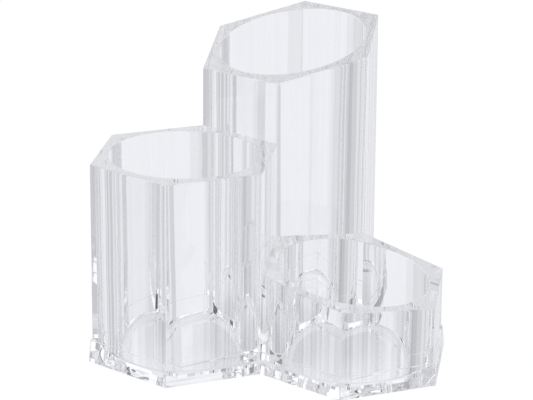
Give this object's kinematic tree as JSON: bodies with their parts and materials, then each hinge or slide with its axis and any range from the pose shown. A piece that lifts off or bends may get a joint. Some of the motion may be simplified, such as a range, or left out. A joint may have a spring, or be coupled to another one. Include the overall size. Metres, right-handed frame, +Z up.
{
  "type": "clear brush holder with three cups",
  "caption": "Clear plastic desk holder: hexagonal cups with round bores in stepped heights, joined like honeycomb on a low flared plinth, for brushes and small items.",
  "frame": {"origin": "middle of the bounding box, on the surface that the plinth stands on", "axes": "+Z up; +Y towards the tall cup at the back, so -Y is the front; the medium cup is towards -X and the short cup towards +X"},
  "size_m": [0.1554, 0.1574, 0.1372],
  "materials": {
    "cup_clear": "polished clear moulded plastic",
    "plinth_clear": "polished clear moulded plastic"
  },
  "bodies": {
    "root": {"base_plinth": "plinth_clear", "tall_cup": "cup_clear", "medium_cup": "cup_clear", "short_cup": "cup_clear"}
  },
  "joints": []
}
